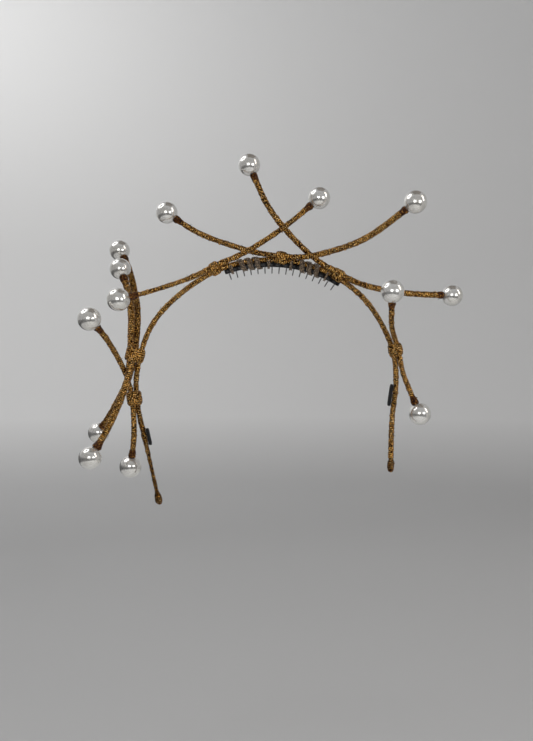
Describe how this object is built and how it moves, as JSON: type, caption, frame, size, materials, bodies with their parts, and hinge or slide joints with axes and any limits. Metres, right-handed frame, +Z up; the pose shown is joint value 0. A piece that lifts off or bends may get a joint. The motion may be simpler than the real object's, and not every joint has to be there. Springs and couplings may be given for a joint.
{
  "type": "crown",
  "caption": "Wire headband crown: a thread-wrapped arch worn ear to ear, curved wrapped stems bound across it with a pearl on each end, and a hair comb lashed under its top.",
  "frame": {"origin": "middle of the comb's underside, under the top of the arch, where the crown rests on the head", "axes": "+Z up, +X towards the arm with the higher end, the front of the crown faces -Y"},
  "size_m": [0.2494, 0.081, 0.222],
  "materials": {
    "gold_wrap": "closely wound antique gold metallic thread, glinting",
    "glued_wrap": "dark brown, thread ends soaked in glue",
    "steel_wire": "plain wire, hidden inside the wrapping",
    "pearl": "silvery white pearl lustre, high gloss",
    "black_plastic": "satin black",
    "lashing_thread": "grey-brown twisted thread",
    "black_elastic": "matt black woven elastic"
  },
  "bodies": {
    "root": {"band_wire": "steel_wire", "band_cord": "gold_wrap", "end_wrap_left": "gold_wrap", "end_wrap_right": "gold_wrap", "stem_wire_1": "steel_wire", "stem_cord_1": "gold_wrap", "pearl_1_left": "pearl", "collar_1_left": "glued_wrap", "pearl_1_right": "pearl", "collar_1_right": "glued_wrap", "stem_wire_2": "steel_wire", "stem_cord_2": "gold_wrap", "pearl_2_top": "pearl", "collar_2_top": "glued_wrap", "pearl_2_right": "pearl", "collar_2_right": "glued_wrap", "stem_wire_3": "steel_wire", "stem_cord_3": "gold_wrap", "pearl_3_top": "pearl", "collar_3_top": "glued_wrap", "pearl_3_left": "pearl", "collar_3_left": "glued_wrap", "stem_wire_4": "steel_wire", "stem_cord_4": "gold_wrap", "pearl_4_upper": "pearl", "collar_4_upper": "glued_wrap", "pearl_4_lower": "pearl", "collar_4_lower": "glued_wrap", "stem_wire_5": "steel_wire", "stem_cord_5": "gold_wrap", "pearl_5_upper": "pearl", "collar_5_upper": "glued_wrap", "pearl_5_lower": "pearl", "collar_5_lower": "glued_wrap", "stem_wire_6": "steel_wire", "stem_cord_6": "gold_wrap", "pearl_6_upper": "pearl", "collar_6_upper": "glued_wrap", "pearl_6_lower": "pearl", "collar_6_lower": "glued_wrap", "stem_wire_7": "steel_wire", "stem_cord_7": "gold_wrap", "pearl_7_upper": "pearl", "collar_7_upper": "glued_wrap", "pearl_7_lower": "pearl", "collar_7_lower": "glued_wrap", "comb": "black_plastic", "comb_lashing_left": "lashing_thread", "comb_lashing_right": "lashing_thread", "binding_1": "gold_wrap", "binding_2": "gold_wrap", "binding_3": "gold_wrap", "binding_4": "gold_wrap", "binding_5_6": "gold_wrap", "binding_7": "gold_wrap", "grip_loop_left": "black_elastic", "grip_loop_right": "black_elastic"}
  },
  "joints": []
}
